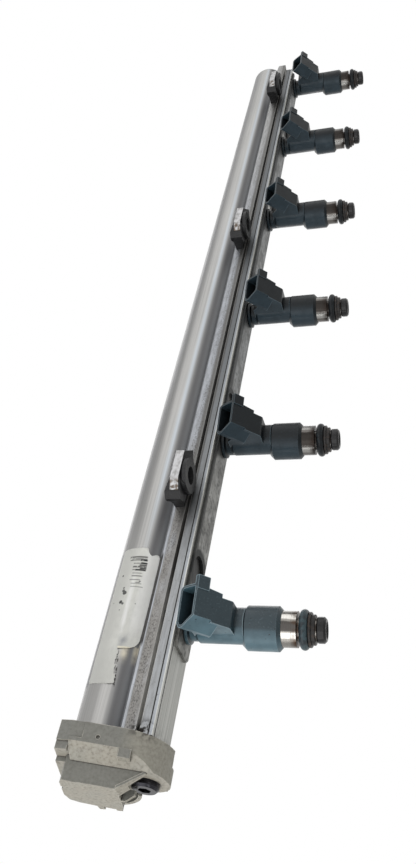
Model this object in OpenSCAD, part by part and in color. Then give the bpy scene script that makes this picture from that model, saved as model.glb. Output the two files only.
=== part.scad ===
// Fuel rail for a straight-six engine: drawn aluminium rail, end cap,
// six clipped-in injectors and three isolated mounting lugs.
// Millimetres. The row frame has z up, the nozzles pointing down and the rail along y.
// Each module is drawn in a working frame: x runs from the fuel tube towards the nozzles,
// y along the rail away from the end cap, z from the injector axes towards the lugs.

/* [Rail] */
// distance between neighbouring injectors
injector_pitch = 91; // [80:1:110]
// rail end face to the first injector
near_overhang = 44.8; // [30:0.2:60]
// last injector to the far end of the drawn rail
far_overhang = 22; // [18:0.5:40]
// fuel tube outside diameter
tube_d = 24; // [20:0.5:30]
// fuel tube bore
tube_bore_d = 18; // [14:0.5:24]
// fuel tube centre behind the injector seating origin
tube_back = 17; // [15:0.5:20]
// fuel tube centre below the injector axes
tube_drop = 2.9; // [0:0.1:5]
// injector side face of the flange
flange_face = 3.7; // [3:0.1:6]
// flange height above the injector axes
flange_top = 10.1; // [8.5:0.1:14]
// flange depth below the injector axes
flange_bottom = 9; // [8:0.1:14]
// width of the land beside the lug rib
land_w = 4.7; // [3:0.1:6]
// width of the slot between land and lug rib
slot_w = 1.5; // [1:0.1:3]
// width of the lug rib
rib_w = 6.2; // [4:0.1:8]
// height of the lug rib above the injector axes
rib_top = 10; // [8:0.1:14]
// land cut back from the far end of the rail
land_setback = 10; // [0:0.5:20]
// injector socket diameter
socket_d = 14.6; // [13:0.1:16]
// injector socket depth
socket_depth = 11; // [8:0.5:13]

/* [Retainer strip] */
// strip thickness
strip_t = 1.1; // [0.8:0.1:2]
// strip width
strip_w = 15.4; // [12:0.1:17]
// strip end to the nearest injector
strip_end = 11.4; // [9:0.1:20]
// keyhole entry hole, centre distance from the injector
key_shift = 23; // [16:0.5:35]
// keyhole entry hole diameter
key_d = 13.2; // [11:0.1:14]

/* [Mounting lugs] */
// distance between neighbouring lugs, in injector pitches
lug_pitches = 2; // [1:1:2]
// first lug's bolt axis to the first injector
lug_offset = 56; // [40:0.5:70]
// bolt axis above the injector axes
bolt_rise = 19.6; // [17:0.1:26]
// bolt hole diameter
bolt_d = 7.4; // [5:0.1:9]
// moulding thickness along the bolt
lug_t = 7.8; // [6:0.1:12]
// raised seat ring height
seat_ring_h = 0.5; // [0.3:0.1:3]
// raised seat ring outside diameter
seat_ring_d = 14.4; // [12:0.2:18]
// steel plate thickness
plate_t = 3.4; // [2:0.1:5]

/* [Injector] */
// turn of the connector about the injector axis
clocking = 8.5; // [0:0.5:20]
// moulded barrel diameter
barrel_d = 16; // [14:0.1:20]
// end of the moulded barrel
barrel_end = 40.4; // [36:0.1:46]
// moulded neck diameter
neck_d = 13; // [11:0.1:15]
// offset of the moulded neck towards the connector
neck_shift = 1.8; // [0:0.1:2.5]
// steel core diameter inside the moulding
core_d = 8.7; // [7:0.1:10]
// bare steel band diameter
band_d = 12.8; // [11:0.1:14]
// end of the bare steel band
band_end = 45.7; // [43:0.1:50]
// port seal outside diameter
port_seal_d = 14.2; // [13:0.1:16]
// nozzle cap diameter
nozzle_d = 9.3; // [7:0.1:11]
// nozzle cap length
nozzle_h = 3.4; // [2:0.1:6]

/* [Connector] */
// lean of the connector back towards the rail
connector_lean = 46; // [20:1:60]
// outside length of the socket, along the rail
connector_l = 15.3; // [13:0.1:20]
// outside width of the socket
connector_w = 8.2; // [7.8:0.1:12]
// socket wall thickness
connector_wall = 0.9; // [0.8:0.05:1.2]
// socket depth
connector_depth = 9.4; // [7:0.1:10]
// web width below the housing
web_w = 10; // [8:0.2:12]
// contact blade width
blade_w = 2.4; // [1.5:0.1:3]
// contact blade thickness
blade_t = 0.8; // [0.5:0.1:1]
// contact blade length, with what is moulded in
blade_l = 6.6; // [5:0.1:8]

/* [End cap] */
// round side of the cap, radius
cap_r = 17.9; // [17:0.1:22]
// slope of the cap's top face
cap_slope = 13.5; // [5:0.5:20]
// rim depth along the rail, up to the front bevel
cap_rim = 6.4; // [5:0.1:12]
// bevel depth along the rail
cap_bevel = 4.3; // [3:0.1:8]
// bevel drop below the top face
cap_bevel_drop = 5; // [3:0.1:7]
// nose depth beyond the bevel
cap_nose = 6.4; // [3:0.1:10]
// ring behind the nose, outside diameter
nose_ring_d = 31.2; // [26:0.2:34]
// cap screw head diameter
screw_head_d = 9.6; // [7:0.1:12]
// cap screw head height
screw_head_h = 2.4; // [1.5:0.1:4]
// cap screw thread diameter
screw_d = 5; // [4:0.5:6]

/* [Hidden] */
$fn = 96;
eps = 0.01;
seal_gap = 0.05;
rail_y0 = -near_overhang;
last_y = 5 * injector_pitch;
rail_y1 = last_y + far_overhang;
rail_len = rail_y1 - rail_y0;
lug_y = [for (i = [0:2]) lug_offset + i * lug_pitches * injector_pitch];
seat_x = 0.6;
lug_x0 = seat_x - seat_ring_h - lug_t;
plate_x0 = seat_x - seat_ring_h - 2.1 - plate_t;
plate_x1 = plate_x0 + plate_t;
collar_r = seat_ring_d / 2 + 0.4;
rib_x1 = flange_face - land_w - slot_w;
rib_x0 = rib_x1 - rib_w;
core_bore_d = core_d + 2 * seal_gap;
seal_x = 48.1;
seal_wire = 3;
carrier_d = port_seal_d - 2 * seal_wire;
spacer_x = seal_x + seal_wire / 2;
cap_x = 52.45;
cap_cx = -9.7;
screw_x = 0.1;
screw_z = -2.6;
rim_y = rail_y0 - cap_rim;
boss_y = rim_y - cap_bevel;
pad_d = 16.4;
slope_x = cap_cx + cap_r * sin(cap_slope);
slope_z = -tube_drop + cap_r * cos(cap_slope);
shoulder_x = -20.9;
shoulder_z = slope_z + (slope_x - shoulder_x) * tan(cap_slope);
flank_x = 3;
plaque_x = -5.3;
flank_step_x = -2.4;
nose_y = boss_y - cap_nose;
mouth_x = 9.9;
mouth_z = 19.9;
mouth_cut = tan(15);
strip_x = flange_face;
groove_d = 9.8;
plug_h = 11;
plug_flange = 1.5;
plug_seal_h = 6.1;
cap_seal_y = rail_y0 + 6.1;
seal_cord = 1.6;
groove_w = 2.2;

// working frame to row frame: origin on the middle lug's bolt axis, in its seat plane
module placed() {
    rotate([0, 90, 0])
        translate([-seat_x, -lug_y[1], -bolt_rise])
            children();
}

// a profile given as [x, z], drawn out along y from y0 to y1
module along_y(y0, y1, pts) {
    translate([0, y1, 0])
        rotate([90, 0, 0])
            linear_extrude(y1 - y0)
                polygon(pts);
}

// a bar of diameter d along y
module rod_y(x, z, y0, y1, d) {
    translate([x, y0, z])
        rotate([-90, 0, 0])
            cylinder(d = d, h = y1 - y0);
}

// a bar of diameter d along x
module rod_x(x0, x1, d) {
    translate([x0, 0, 0])
        rotate([0, 90, 0])
            cylinder(d = d, h = x1 - x0);
}

// a ring of round wire about the x axis
module ring_x(x, outer_d, wire) {
    translate([x, 0, 0])
        rotate([0, 90, 0])
            rotate_extrude()
                translate([(outer_d - wire) / 2, 0])
                    circle(d = wire, $fn = 32);
}

// a turned piece about the x axis; points are [radius, x]
module turned(pts) {
    rotate([0, 90, 0])
        rotate_extrude()
            polygon(pts);
}

module at_injector(n) {
    translate([0, (n - 1) * injector_pitch, 0])
        rotate([clocking, 0, 0])
            children();
}

module at_each_injector() {
    for (n = [1:6])
        at_injector(n)
            children();
}

// the drawn rail

module rail_extrusion() {
    color("silver")
    placed()
    difference() {
        union() {
            rod_y(-tube_back, -tube_drop, rail_y0, rail_y1, tube_d);
            along_y(rail_y0, rail_y1, rib_profile());
            along_y(rail_y0, rail_y1 - land_setback, land_profile());
        }
        rod_y(-tube_back, -tube_drop, rail_y0 - 1, rail_y1 + 1, tube_bore_d);
        // sighting line along the land
        translate([flange_face - 1.7, rail_y0 - 1, flange_top - 0.5])
            cube([0.35, rail_len + 2, 1]);
        // undercut above the retainer strip
        translate([flange_face - 1.4, rail_y0 - 1, strip_w / 2 + 0.05])
            cube([2, rail_len + 2, 0.8]);
        for (n = [0:5])
            translate([0, n * injector_pitch, 0]) {
                rod_x(flange_face - socket_depth, flange_face + 1, socket_d);
                rod_x(-tube_back, 0, 5);
            }
        rod_y(screw_x, screw_z, rail_y0 - 1, rail_y0 + 14, screw_d + 0.1);
    }
}

function rib_profile() = [
    [-tube_back + 3, -flange_bottom], [rib_x1, -flange_bottom], [rib_x1, rib_top],
    [rib_x0 + 1.2, rib_top], [rib_x0, rib_top - 1.6], [rib_x0, 0], [-tube_back + 3, 0]
];

function land_profile() = [
    [rib_x1 - 1, -flange_bottom], [flange_face, -flange_bottom], [flange_face, flange_top],
    [flange_face - land_w, flange_top], [flange_face - land_w, rib_top - 4.2], [rib_x1 - 1, rib_top - 4.2]
];

// the far end: a plug with the fuel inlet

module far_plug() {
    color("lightgray")
    placed()
    translate([-tube_back, rail_y1, -tube_drop])
    rotate([-90, 0, 0])
    difference() {
        rotate_extrude()
            polygon([
                [4, plug_flange], [4, -plug_h], [tube_bore_d / 2 - 0.6, -plug_h],
                [tube_bore_d / 2 - seal_gap, -plug_h + 0.6],
                [tube_bore_d / 2 - seal_gap, -plug_seal_h - groove_w / 2],
                [tube_bore_d / 2 - seal_cord, -plug_seal_h - groove_w / 2],
                [tube_bore_d / 2 - seal_cord, -plug_seal_h + groove_w / 2],
                [tube_bore_d / 2 - seal_gap, -plug_seal_h + groove_w / 2],
                [tube_bore_d / 2 - seal_gap, 0], [tube_d / 2, 0], [tube_d / 2, plug_flange - 1],
                [tube_d / 2 - 1, plug_flange]
            ]);
        translate([0, 0, plug_flange - 2])
            cylinder(d1 = 8, d2 = 12, h = 2 + eps);
    }
}

module far_plug_seal() {
    color("black")
    placed()
    translate([-tube_back, rail_y1 - plug_seal_h, -tube_drop])
    rotate([-90, 0, 0])
    rotate_extrude()
        translate([(tube_bore_d - seal_cord) / 2, 0])
            circle(d = seal_cord, $fn = 32);
}

// the end cap at the near end

// flat sides of the cap's outline; the upper right is a round of radius cap_r
function cap_sides() = [
    [cap_cx + cap_r - 0.1, 0.7 - tube_drop], [5.2, -11], [-0.5, -16.6], [-8, -19.6], [-20, -19.6],
    [-26.5, -17.2], [-30.8, -9], [-30.8, -5], [-25.2, 17.7], [shoulder_x, 17.9],
    [shoulder_x, shoulder_z], [slope_x, slope_z]
];

module cap_block(y0, y1) {
    along_y(y0, y1, cap_sides());
    intersection() {
        rod_y(cap_cx, -tube_drop, y0, y1, 2 * cap_r);
        translate([cap_cx, y0 - 1, 0.7 - tube_drop])
            cube([2 * cap_r, y1 - y0 + 2, 2 * cap_r]);
    }
}

// frame on the cap's sloping top face, origin at the shoulder on the bevel's upper edge
module on_slope() {
    translate([shoulder_x, rim_y, shoulder_z])
        rotate([0, cap_slope, 0])
            children();
}

module end_cap() {
    color([0.62, 0.61, 0.57])
    placed()
    difference() {
        union() {
            cap_front();
            cap_block(rim_y, rail_y0);
            // stop block standing on the bevel
            on_slope()
                translate([16.5, -2.8, -cap_bevel_drop])
                    cube([4.1, 3, cap_bevel_drop - 0.05]);
            // pad round the cap screw
            rod_y(screw_x, screw_z, boss_y, rim_y + 1, pad_d);
            // spigot into the tube
            rod_y(-tube_back, -tube_drop, rail_y0 - 1, rail_y0 + 11, tube_bore_d - 2 * seal_gap);
        }
        rod_y(screw_x, screw_z, boss_y - 1, rail_y0 + 1, screw_d + 0.5);
        // shallow recess in the top face
        on_slope()
            translate([-20, 1.2, -0.35])
                cube([24.1, cap_rim + 2, 4]);
        // gate mark in the top face
        on_slope()
            translate([9.2, 2.2, -0.6])
                cylinder(d = 1.3, h = 2);
        // seal groove in the spigot
        translate([-tube_back, cap_seal_y - groove_w / 2, -tube_drop])
            rotate([-90, 0, 0])
                difference() {
                    cylinder(d = tube_bore_d + 2, h = groove_w);
                    translate([0, 0, -1])
                        cylinder(d = tube_bore_d - 2 * seal_cord, h = groove_w + 2);
                }
        // core hole in the spigot
        rod_y(-tube_back, -tube_drop, rail_y0 - 2, rail_y0 + 12, tube_bore_d - 8);
    }
}

// everything in front of the rim
module cap_front() {
    difference() {
        union() {
            difference() {
                cap_block(boss_y, rim_y + 1);
                // bevel over the upper front edge
                on_slope()
                    rotate([90, 0, 90])
                        linear_extrude(60)
                            polygon([
                                [0, 0], [-2 * cap_bevel, -2 * cap_bevel_drop], [-2 * cap_bevel, 6], [0, 6]
                            ]);
                // upright front of the left shoulder
                translate([shoulder_x - 20, boss_y - 1, 10.6])
                    cube([20 + eps, 2.6, 20]);
                translate([shoulder_x - 20, boss_y - 1, 17])
                    cube([20 + eps, cap_bevel + 1, 20]);
                // open below the round nose
                translate([-50, boss_y - 1, -40])
                    cube([80, cap_bevel + 1, 31]);
            }
            cap_nose_block();
        }
        // room for the screw head
        rod_y(screw_x, screw_z, nose_y - 1, boss_y, screw_head_d + 0.8);
        // pocket inside the nose ring
        difference() {
            rod_y(-tube_back, -tube_drop, boss_y - 3, boss_y - 0.6, nose_ring_d - 2.6);
            nose_core();
        }
    }
    // web beside the screw
    translate([0, 0, -2.9])
        linear_extrude(1.2)
            polygon([[plaque_x - 2, boss_y - 2.8], [flank_step_x, boss_y - 2.8],
                     [flank_step_x, flank(flank_step_x)], [plaque_x, nose_y], [plaque_x - 2, nose_y]]);
}

// front line of the slanting right flank, seen from above
function flank(x) = nose_y + (x - plaque_x) * (boss_y - 0.5 - nose_y) / (flank_x - plaque_x);

module cap_nose_block() {
    // ring behind the plaque, open towards the tread
    intersection() {
        rod_y(-tube_back, -tube_drop, boss_y - 2.7, rim_y + 1, nose_ring_d);
        translate([-tube_back - 4, nose_y, -40])
            cube([40, 20, 41]);
    }
    nose_core();
}

// height of the tread, parallel to the top face
function tread(x) = shoulder_z - cap_bevel_drop / cos(cap_slope) - 0.5 - (x - shoulder_x) * tan(cap_slope);

// plaque block and the tread that runs out over the screw
module nose_core() {
    along_y(nose_y, rim_y, [
        [-22.2, tread(-22.2)], [plaque_x, tread(plaque_x)], [-5.8, 3.3], [-6.6, -1.1], [-7.4, -5.7],
        [-9.2, -11.2], [-16.6, -9.4],
        [-23, -7.2], [-25.8, -5.2], [-26.3, -0.8], [-25, 4.8], [-24.1, 5.2], [-23.8, 6.6], [-24.5, 6.9],
        [-23.6, 10.6]
    ]);
    // ribs under the plaque
    for (x = [-16.5, -10.3])
        translate([x - 1, nose_y, -12])
            cube([2, boss_y - nose_y + 1, 4]);
    sloped_slab(6, 0)
        polygon([[plaque_x - 1, rim_y], [flank_x, rim_y], [flank_x, flank(flank_x)],
                 [plaque_x, nose_y], [plaque_x - 1, nose_y]]);
    sloped_slab(3.3, 0)
        polygon([[plaque_x - 1, rim_y], [flank_step_x, rim_y], [flank_step_x, flank(flank_step_x)],
                 [plaque_x, nose_y], [plaque_x - 1, nose_y]]);
    // lip along the flank's edge
    sloped_slab(6, 0.4)
        polygon([[flank_x, flank(flank_x) + 1], [flank_x, flank(flank_x)],
                 [plaque_x, nose_y], [plaque_x, nose_y + 1]]);
}

// a plan shape raised from z0 to the tread, plus a rise
module sloped_slab(z0, rise) {
    intersection() {
        translate([0, 0, z0])
            linear_extrude(20)
                children();
        along_y(nose_y - 1, rim_y, [
            [-30, z0 - 1], [flank_x + 1, z0 - 1], [flank_x + 1, tread(flank_x + 1) + rise],
            [-30, tread(-30) + rise]
        ]);
    }
}

module end_cap_screw() {
    color([0.1, 0.1, 0.11])
    placed()
    translate([screw_x, boss_y, screw_z])
    rotate([90, 0, 0])
    difference() {
        rotate_extrude()
            polygon([
                [0, -cap_rim - cap_bevel - 10], [screw_d / 2, -cap_rim - cap_bevel - 10], [screw_d / 2, 0],
                [screw_head_d / 2, 0], [screw_head_d / 2, screw_head_h - 0.8],
                [screw_head_d / 2 - 0.8, screw_head_h], [0, screw_head_h]
            ]);
        translate([0, 0, 0.6])
            cylinder(d = 4.6, h = 3, $fn = 6);
    }
}

module end_cap_seal() {
    color("black")
    placed()
    translate([-tube_back, cap_seal_y, -tube_drop])
    rotate([-90, 0, 0])
    rotate_extrude()
        translate([(tube_bore_d - seal_cord) / 2, 0])
            circle(d = seal_cord, $fn = 32);
}

// the sheet strip that locks the injectors in

module retainer_strip() {
    c = 1.6;
    y0 = -strip_end;
    y1 = last_y + strip_end;
    h = strip_w / 2;
    color([0.6, 0.6, 0.58])
    placed()
    difference() {
        translate([strip_x, 0, 0])
            rotate([90, 0, 90])
                linear_extrude(strip_t)
                    polygon([
                        [y0 + c, -h], [y1 - c, -h], [y1, -h + c], [y1, h - c],
                        [y1 - c, h], [y0 + c, h], [y0, h - c], [y0, -h + c]
                    ]);
        for (n = [0:5])
            translate([0, n * injector_pitch, 0]) {
                rod_x(strip_x - 1, strip_x + strip_t + 1, groove_d + 0.3);
                if (n < 5) {
                    translate([strip_x - 1, 0, -(groove_d + 0.3) / 2])
                        cube([strip_t + 2, key_shift, groove_d + 0.3]);
                    translate([0, key_shift, 0])
                        rod_x(strip_x - 1, strip_x + strip_t + 1, key_d);
                } else {
                    translate([strip_x - 1, 0, -(groove_d + 0.3) / 2])
                        cube([strip_t + 2, strip_end + 1, groove_d + 0.3]);
                }
            }
    }
}

// mounting lugs: a steel plate in a moulded isolator that sits on the lug rib

// thick back half round the plate
function lug_outline() = [
    [-8.3, rib_top], [-8.6, 12.6], [-9.5, 15], [-11.2, 17.6], [-11.9, 19.8], [-10.2, 22.4],
    [-5.4, 25.2], [8.4, 25.2], [11.6, 21.9], [9.4, 20.2], [8.2, 16], [6, rib_top]
];

// ear beside the seat ring
function ear_outline() = [[0, 25.2], [8.4, 25.2], [11.6, 21.9], [9.4, 20.2], [6.4, 16], [0, 16]];

module lug_profile(x0, t, pts) {
    translate([x0, 0, 0])
        rotate([90, 0, 90])
            linear_extrude(t)
                polygon(pts);
}

module lug_moulding(n) {
    color([0.13, 0.13, 0.14])
    placed()
    translate([0, lug_y[n - 1], 0])
    difference() {
        union() {
            intersection() {
                union() {
                    lug_profile(lug_x0, plate_x1 + 0.6 - lug_x0, lug_outline());
                    lug_profile(lug_x0 + 1, lug_t - 1, ear_outline());
                    translate([0, 0, bolt_rise])
                        rod_x(lug_x0 + 1, lug_x0 + lug_t, 2 * collar_r);
                }
                // narrows towards the rib, rounded off at the back
                along_y(-20, 20, [
                    [rib_x0 + 1.8, rib_top], [rib_x0 + 1.8, rib_top + 2.4], [lug_x0 + 0.6, rib_top + 6],
                    [lug_x0, rib_top + 8], [lug_x0, 22.4], [lug_x0 + 1.9, 25.2], [plate_x1 + 0.2, 25.2],
                    [plate_x1 + 0.6, 24.4], [lug_x0 + lug_t, 22.8], [lug_x0 + lug_t, bolt_rise - collar_r - 0.1],
                    [plate_x1 + 0.7, bolt_rise - collar_r - 0.1], [plate_x1 + 0.6, rib_top + 4.4],
                    [rib_x1 - 0.5, rib_top + 1.6], [rib_x1 - 0.5, rib_top]
                ]);
            }
            translate([0, 0, bolt_rise])
                rod_x(seat_x - seat_ring_h - 1, seat_x, seat_ring_d);
        }
        lug_profile(plate_x0, plate_t, plate_outline());
        translate([0, 0, bolt_rise])
            rod_x(lug_x0 - 1, seat_x + 1, bolt_d);
    }
}

function plate_outline() = [
    [-6, 14.6], [-9.4, 18.6], [-9.8, 22.9], [-5.6, 25.8], [8.2, 25.8], [8.7, 25.2], [8.7, 19.6], [5.6, 14.6]
];

module lug_plate(n) {
    color([0.75, 0.74, 0.72])
    placed()
    translate([0, lug_y[n - 1], 0])
    difference() {
        lug_profile(plate_x0, plate_t, plate_outline());
        translate([0, 0, bolt_rise])
            rod_x(lug_x0 - 1, seat_x + 1, bolt_d);
    }
}

// connector frame: origin at the middle of the mouth, z out of the socket
module connector_frame() {
    translate([mouth_x, 0, mouth_z])
        rotate([0, -connector_lean, 0])
            children();
}

// outline of the socket housing, inset by g
function housing(g) = [
    [connector_w / 2 - g, -4.2 + 0.4 * g], [connector_w / 2 - g, connector_l / 2 - 0.5 - 0.6 * g],
    [connector_w / 2 - 0.5 - 0.6 * g, connector_l / 2 - g], [-connector_w / 2 + 1 + 0.6 * g, connector_l / 2 - g],
    [-connector_w / 2 + g, connector_l / 2 - 1 - 0.6 * g], [-connector_w / 2 + g, -connector_l / 2 + 2 + 0.4 * g],
    [-connector_w / 2 + 1.4 + 0.5 * g, -connector_l / 2 + g], [-connector_w / 2 + 2.9 + 0.2 * g, -connector_l / 2 + g]
];

module blades(g) {
    for (y = [-2.6, 2.6])
        translate([-blade_t / 2 - g, y - blade_w / 2 - g, -connector_depth - 2])
            cube([blade_t + 2 * g, blade_w + 2 * g, blade_l]);
}

module injector_body(n) {
    color([0.24, 0.3, 0.34])
    placed()
    at_injector(n)
    difference() {
        union() {
            // barrel, neck, collar and locking groove
            turned([
                [0, 2.2], [6.6, 2.2], [6.9, 2.5], [6.9, 3.6], [groove_d / 2, 3.6],
                [groove_d / 2, strip_x + strip_t + 0.1], [6.4, strip_x + strip_t + 0.1], [6.6, 5.3], [6.6, 6.3],
                [5.3, 6.9], [5.3, 26.2], [6.4, 26.2], [barrel_d / 2, 27.8], [barrel_d / 2, barrel_end - 1.3],
                [6.6, barrel_end], [0, barrel_end]
            ]);
            translate([0, 0, neck_shift])
                turned([
                    [0, 9.4], [neck_d / 2 - 1, 9.4], [neck_d / 2, 10.6], [neck_d / 2, 27.4], [0, 27.4]
                ]);
            connector_body();
        }
        rod_x(0, barrel_end + 1, core_bore_d);
        connector_frame() {
            tapered(connector_wall)
                translate([0, 0, -connector_depth])
                    linear_extrude(connector_depth + 4)
                        polygon(housing(connector_wall));
            blades(0.02);
        }
    }
}

// keeps what lies inside the housing's tapering far end, inset by g
module tapered(g) {
    intersection() {
        children();
        rotate([90, 0, 90])
            translate([0, 0, -10])
                linear_extrude(20)
                    polygon([
                        [-9, 5], [connector_l / 2 - g, 5], [connector_l / 2 - g, 0], [connector_l / 2 - 0.75 - g, -6],
                        [connector_l / 2 - 1.25 - g, -12], [-9, -12]
                    ]);
    }
}

// faceted socket housing on its web, with the latch block on the far side
module connector_body() {
    intersection() {
        connector_frame()
            union() {
                tapered(0)
                    translate([0, 0, -connector_depth - 2])
                        linear_extrude(connector_depth + 4)
                            polygon(housing(0));
                // latch tab on the far end
                translate([connector_w / 2 - 1.2, connector_l / 2 - 2, -5.8])
                    cube([1.5, 5, 8]);
            }
        // the mouth is cut a little flatter than the socket leans
        connector_frame()
            along_y(-20, 20, [
                [-connector_w / 2 - 1, -20], [connector_w / 2 + 1, -20],
                [connector_w / 2 + 1, -mouth_cut * (connector_w / 2 + 1)],
                [-connector_w / 2 - 1, mouth_cut * (connector_w / 2 + 1)]
            ]);
    }
    // flat web down to the neck, its outer face in line with the housing
    along_y(-web_w / 2, web_w / 2, [
        [9.2, 0], [9.2, 8.4], [12.6, 11.4], web_point(8), web_point(15.3), [24.1, web_point(15.3)[1] - 0.6],
        [24.2, 6], [24.2, 0]
    ]);
}

// a point on the housing's outer face, at a depth below the mouth
function web_point(depth) = [
    mouth_x + connector_w / 2 * cos(connector_lean) + depth * sin(connector_lean),
    mouth_z + connector_w / 2 * sin(connector_lean) - depth * cos(connector_lean)
];

module injector_core(n) {
    color([0.72, 0.7, 0.66])
    placed()
    at_injector(n)
    turned([
        [2.6, -6.8], [5, -6.8], [5.3, -6.5], [5.3, -5], [4.1, -5], [4.1, -1], [core_d / 2, -1],
        [core_d / 2, barrel_end], [band_d / 2, barrel_end], [band_d / 2, band_end],
        [carrier_d / 2, band_end], [carrier_d / 2, 52.1], [3.9, 52.1], [3.9, cap_x],
        [1, cap_x], [1, 4], [2.6, 2]
    ]);
}

module rail_seals() {
    color([0.08, 0.08, 0.08])
    placed()
    at_each_injector()
    ring_x(-3, socket_d - 2 * seal_gap, (socket_d - 2 * seal_gap - 8.2) / 2);
}

module port_seal(n) {
    color([0.12, 0.15, 0.17])
    placed()
    at_injector(n)
    ring_x(seal_x, port_seal_d + 2 * seal_gap, seal_wire);
}

// stepped spacer under the port seal
module spacer(n) {
    r = carrier_d / 2 + seal_gap;
    color([0.35, 0.3, 0.26])
    placed()
    at_injector(n)
    turned([
        [r, spacer_x + 0.05], [6, spacer_x + 0.05], [6.2, spacer_x + 0.3], [6.2, 50.5], [6, 50.7],
        [5.35, 50.7], [5.35, 51.9], [5.15, 52.1], [r, 52.1]
    ]);
}

module nozzle_cap(n) {
    color([0.12, 0.12, 0.13])
    placed()
    at_injector(n)
    turned([
        [1, cap_x], [nozzle_d / 2 - 0.5, cap_x], [nozzle_d / 2, cap_x + 0.5],
        [nozzle_d / 2, cap_x + nozzle_h - 0.8], [nozzle_d / 2 - 0.8, cap_x + nozzle_h],
        [3.2, cap_x + nozzle_h], [2.6, cap_x + nozzle_h - 0.9], [1, cap_x + nozzle_h - 0.9]
    ]);
}

module contact_blades() {
    color([0.78, 0.72, 0.55])
    placed()
    at_each_injector()
    connector_frame()
    blades(0);
}

rail_extrusion();
end_cap();
end_cap_screw();
end_cap_seal();
far_plug();
far_plug_seal();
retainer_strip();
rail_seals();
contact_blades();
lug_moulding(1);  // lug_moulding_1
lug_moulding(2);  // lug_moulding_2
lug_moulding(3);  // lug_moulding_3
lug_plate(1);  // lug_plate_1
lug_plate(2);  // lug_plate_2
lug_plate(3);  // lug_plate_3
injector_body(1);  // injector_body_1
injector_body(2);  // injector_body_2
injector_body(3);  // injector_body_3
injector_body(4);  // injector_body_4
injector_body(5);  // injector_body_5
injector_body(6);  // injector_body_6
injector_core(1);  // injector_core_1
injector_core(2);  // injector_core_2
injector_core(3);  // injector_core_3
injector_core(4);  // injector_core_4
injector_core(5);  // injector_core_5
injector_core(6);  // injector_core_6
port_seal(1);  // port_seal_1
port_seal(2);  // port_seal_2
port_seal(3);  // port_seal_3
port_seal(4);  // port_seal_4
port_seal(5);  // port_seal_5
port_seal(6);  // port_seal_6
spacer(1);  // spacer_1
spacer(2);  // spacer_2
spacer(3);  // spacer_3
spacer(4);  // spacer_4
spacer(5);  // spacer_5
spacer(6);  // spacer_6
nozzle_cap(1);  // nozzle_cap_1
nozzle_cap(2);  // nozzle_cap_2
nozzle_cap(3);  // nozzle_cap_3
nozzle_cap(4);  // nozzle_cap_4
nozzle_cap(5);  // nozzle_cap_5
nozzle_cap(6);  // nozzle_cap_6
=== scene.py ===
import math
import random

import bmesh
import bpy
from mathutils import Matrix, Vector, geometry


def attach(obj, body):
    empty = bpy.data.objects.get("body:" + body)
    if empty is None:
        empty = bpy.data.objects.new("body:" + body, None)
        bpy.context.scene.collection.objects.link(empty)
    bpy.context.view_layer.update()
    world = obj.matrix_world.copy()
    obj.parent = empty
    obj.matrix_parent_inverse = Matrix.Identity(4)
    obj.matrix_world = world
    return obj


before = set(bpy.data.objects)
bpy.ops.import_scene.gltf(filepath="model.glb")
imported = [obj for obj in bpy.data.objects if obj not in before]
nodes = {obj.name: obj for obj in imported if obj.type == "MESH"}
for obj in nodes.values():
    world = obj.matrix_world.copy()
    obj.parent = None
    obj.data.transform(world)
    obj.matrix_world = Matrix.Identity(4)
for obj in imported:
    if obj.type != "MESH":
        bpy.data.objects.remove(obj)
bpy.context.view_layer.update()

scene = bpy.context.scene

# the rail's section in the row frame, millimetres; y runs along the rail
section = {
    "tubeX": -22.5, "tubeZ": 17.6, "tubeRadius": 12.0,
    "slotLow": 1.6, "slotHigh": 3.1,     # z of the two sides of the slot below the rib
    "injectorX": -19.6, "firstInjector": -238.0, "pitch": 91.0, "capJoint": -282.8,
    "keyShift": 23.0, "keyRadius": 6.6,  # the strip's keyholes, one beside each injector
}
mmPerDegree = math.radians(section["tubeRadius"])    # arc on the tube
degreesPerRadian = math.degrees(1)


# small helpers

def linearColour(hexCode):
    channels = [int(hexCode[i:i + 2], 16) / 255 for i in (1, 3, 5)]
    return [c / 12.92 if c <= 0.04045 else ((c + 0.055) / 1.055) ** 2.4 for c in channels] + [1.0]


def perMetre(sizeMm):
    return 1000 / sizeMm    # how many features of that size fit in a metre


def addNode(tree, kind, inputs=None, **settings):
    node = tree.nodes.new("ShaderNode" + kind)
    for name, value in settings.items():
        setattr(node, name, value)
    for name, value in (inputs or {}).items():
        if isinstance(value, bpy.types.NodeSocket):
            tree.links.new(value, node.inputs[name])
        else:
            node.inputs[name].default_value = value
    return node


def emptyTree(owner):
    owner.use_nodes = True
    owner.node_tree.nodes.clear()
    return owner.node_tree


def newMaterial(name, sockets):
    material = bpy.data.materials.new(name)
    tree = emptyTree(material)
    shader = addNode(tree, "BsdfPrincipled", sockets)
    addNode(tree, "OutputMaterial", {"Surface": shader.outputs[0]})
    return material, tree, shader


# where a point lies: in metres for the patterns, then its x, y and z in millimetres
def placeOn(tree):
    place = addNode(tree, "TexCoord").outputs["Object"]
    inMm = addNode(tree, "VectorMath", {0: place, "Scale": 1000.0}, operation="SCALE")
    return [place] + list(addNode(tree, "SeparateXYZ", {0: inMm.outputs[0]}).outputs)


# the way the surface faces, as x, y and z
def facingOn(tree):
    return addNode(tree, "SeparateXYZ", {0: addNode(tree, "NewGeometry").outputs["Normal"]}).outputs


# angle round the tube in degrees, from its top towards the rib
def tubeAngle(tree, x, z):
    outX = addNode(tree, "Math", {0: x, 1: -section["tubeX"]}, operation="ADD")
    outZ = addNode(tree, "Math", {0: section["tubeZ"], 1: z}, operation="SUBTRACT")
    turn = addNode(tree, "Math", {0: outZ.outputs[0], 1: outX.outputs[0]}, operation="ARCTAN2")
    return addNode(tree, "Math", {0: turn.outputs[0], 1: degreesPerRadian}, operation="MULTIPLY").outputs[0]


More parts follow.
